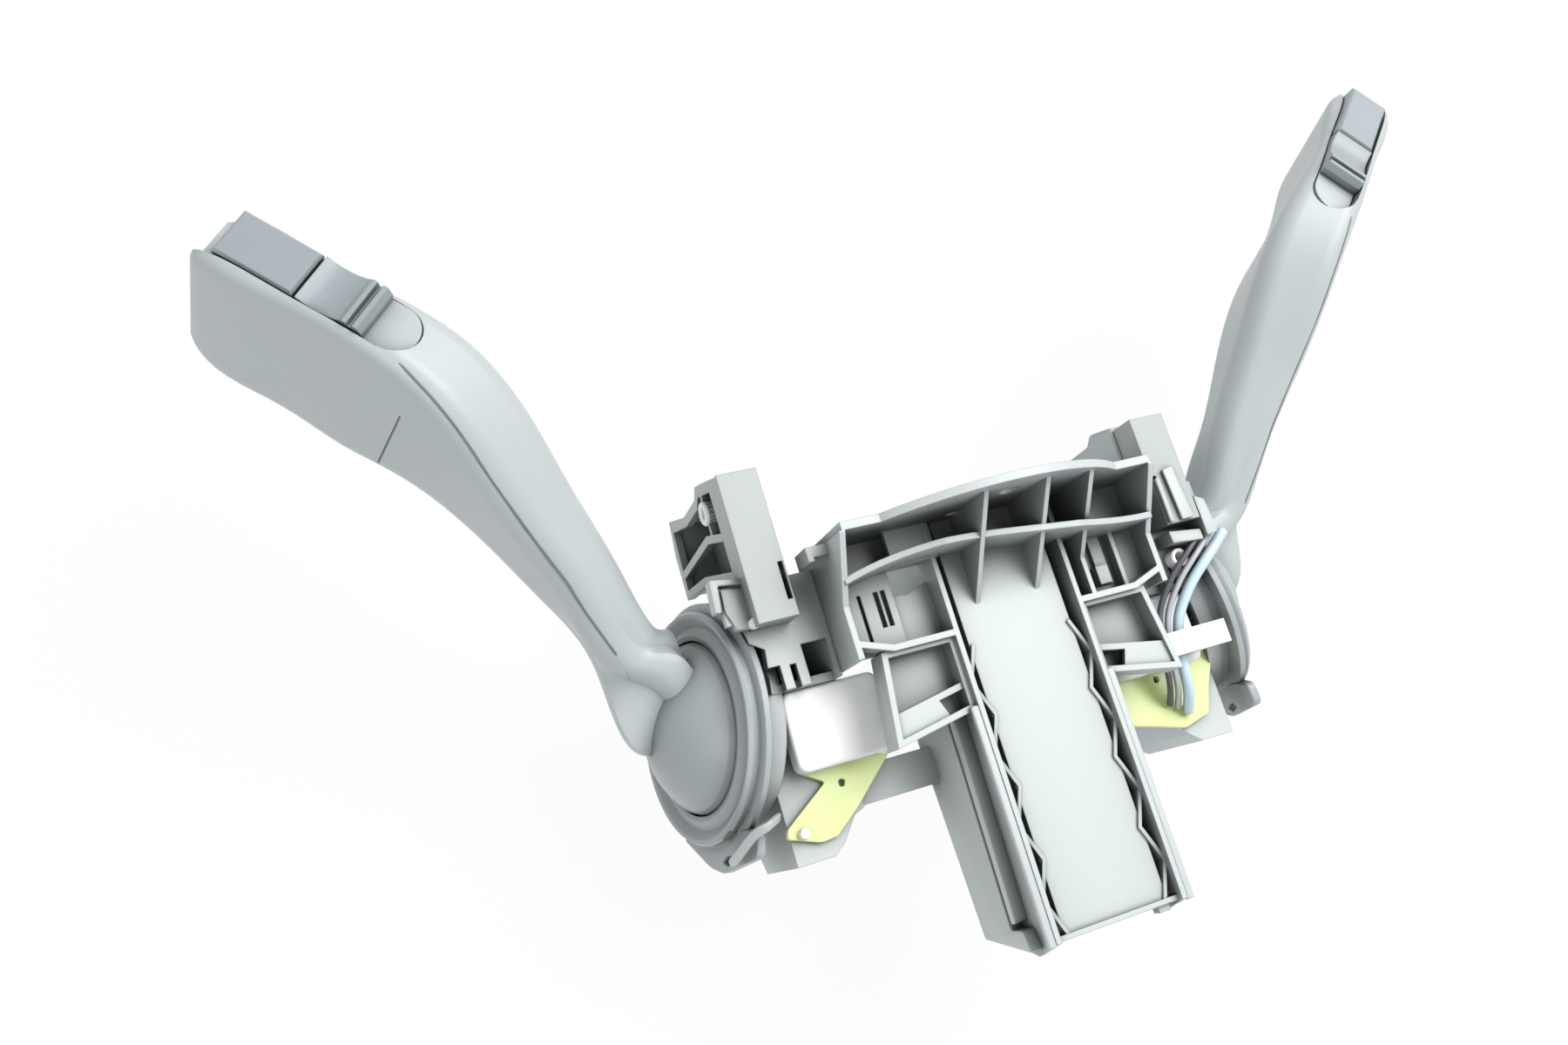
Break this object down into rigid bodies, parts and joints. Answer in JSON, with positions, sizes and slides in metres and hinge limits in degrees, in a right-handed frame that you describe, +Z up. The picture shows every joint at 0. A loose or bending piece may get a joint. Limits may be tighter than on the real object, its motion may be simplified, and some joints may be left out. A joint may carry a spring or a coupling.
{
  "type": "combination stalk switch",
  "caption": "Steering column stalk switch: saddle-shaped column bracket with a ball-jointed indicator stalk on the left and a wiper stalk on the right.",
  "frame": {"origin": "centre of the column screw hole on the driver-side face of the arched wall", "axes": "+X to the right stalk as in the picture, +Y along the steering axis toward the driver, +Z up, away from the column"},
  "size_m": [0.3296, 0.1964, 0.0913],
  "materials": {
    "grey_plastic": "moulded, fine satin",
    "stalk_plastic": "fine grained satin",
    "white_plastic": "moulded white",
    "board_green": "solder resist",
    "pin_metal": "plated",
    "lead_blue": "insulation",
    "lead_grey": "insulation",
    "lead_dark": "insulation"
  },
  "bodies": {
    "column": {"column_bracket": "grey_plastic", "left_bezel_ring": "grey_plastic", "left_switch_housing": "grey_plastic", "left_housing_cover": "grey_plastic", "left_mounting_rail": "grey_plastic", "left_circuit_board": "board_green", "left_connector": "white_plastic", "left_terminal_pins": "pin_metal", "right_bezel_ring": "grey_plastic", "right_switch_housing": "grey_plastic", "right_housing_cover": "grey_plastic", "right_mounting_rail": "grey_plastic", "right_circuit_board": "board_green", "right_connector": "white_plastic", "right_terminal_pins": "pin_metal", "right_lead_clamp": "white_plastic", "right_blue_lead": "lead_blue", "right_grey_lead": "lead_grey", "right_dark_lead": "lead_dark"},
    "left_yoke": {"left_gimbal_yoke": "white_plastic", "left_pivot_pin": "pin_metal"},
    "left_stalk": {"left_lever_ball": "grey_plastic", "left_detent_plunger": "white_plastic", "left_stalk_front_shell": "stalk_plastic", "left_stalk_rear_shell": "stalk_plastic", "left_slide_track": "stalk_plastic"},
    "left_slider": {"left_slide_switch": "stalk_plastic"},
    "left_button": {"left_end_button": "stalk_plastic"},
    "left_carrier": {"left_contact_carrier": "white_plastic"},
    "right_yoke": {"right_gimbal_yoke": "white_plastic", "right_pivot_pin": "pin_metal"},
    "right_stalk": {"right_lever_ball": "grey_plastic", "right_detent_plunger": "white_plastic", "right_stalk_front_shell": "stalk_plastic", "right_stalk_rear_shell": "stalk_plastic", "right_slide_track": "stalk_plastic"},
    "right_slider": {"right_slide_switch": "stalk_plastic"},
    "right_button": {"right_end_button": "stalk_plastic"},
    "right_carrier": {"right_contact_carrier": "white_plastic"}
  },
  "joints": [
    {"name": "left_stalk_up_down", "type": "hinge", "parent": "column", "child": "left_yoke", "pos_m": [-0.066, -0.0321, -0.0533], "axis": [0.131, 0.9908, -0.0327], "range_deg": [-8, 8]},
    {"name": "left_stalk_push_pull", "type": "hinge", "parent": "left_yoke", "child": "left_stalk", "pos_m": [-0.066, -0.0321, -0.0533], "axis": [-0.2423, 0, -0.9702], "range_deg": [-5, 6], "stiffness_Nm_per_rad": 3},
    {"name": "left_slide_switch_travel", "type": "slide", "parent": "left_stalk", "child": "left_slider", "axis": [0.7028, -0.7068, 0.0801], "range_m": [0, 0.0045]},
    {"name": "left_end_button_press", "type": "slide", "parent": "left_stalk", "child": "left_button", "axis": [0.0565, -0.0568, -0.9968], "range_m": [0, 0.0012], "stiffness_N_per_m": 600, "springref_m": -0.0005},
    {"name": "left_carrier_slide", "type": "slide", "parent": "column", "child": "left_carrier", "axis": [0, 1, 0], "range_m": [-0.0022, 0.0022]},
    {"name": "right_stalk_up_down", "type": "hinge", "parent": "column", "child": "right_yoke", "pos_m": [0.066, -0.0321, -0.0533], "axis": [0.131, -0.9908, 0.0327], "range_deg": [-7, 12]},
    {"name": "right_stalk_push_pull", "type": "hinge", "parent": "right_yoke", "child": "right_stalk", "pos_m": [0.066, -0.0321, -0.0533], "axis": [-0.2423, 0, 0.9702], "range_deg": [-5, 6], "stiffness_Nm_per_rad": 3},
    {"name": "right_slide_switch_travel", "type": "slide", "parent": "right_stalk", "child": "right_slider", "axis": [-0.7028, -0.7068, 0.0801], "range_m": [0, 0.0045]},
    {"name": "right_end_button_press", "type": "slide", "parent": "right_stalk", "child": "right_button", "axis": [-0.0565, -0.0568, -0.9968], "range_m": [0, 0.0012], "stiffness_N_per_m": 600, "springref_m": -0.0005},
    {"name": "right_carrier_slide", "type": "slide", "parent": "column", "child": "right_carrier", "axis": [0, 1, 0], "range_m": [-0.0022, 0.0022]}
  ],
  "couplings": [
    {"joint": "left_carrier_slide", "follows": "left_stalk_push_pull", "m_per_rad": -0.01684},
    {"joint": "right_carrier_slide", "follows": "right_stalk_push_pull", "m_per_rad": -0.01684}
  ]
}
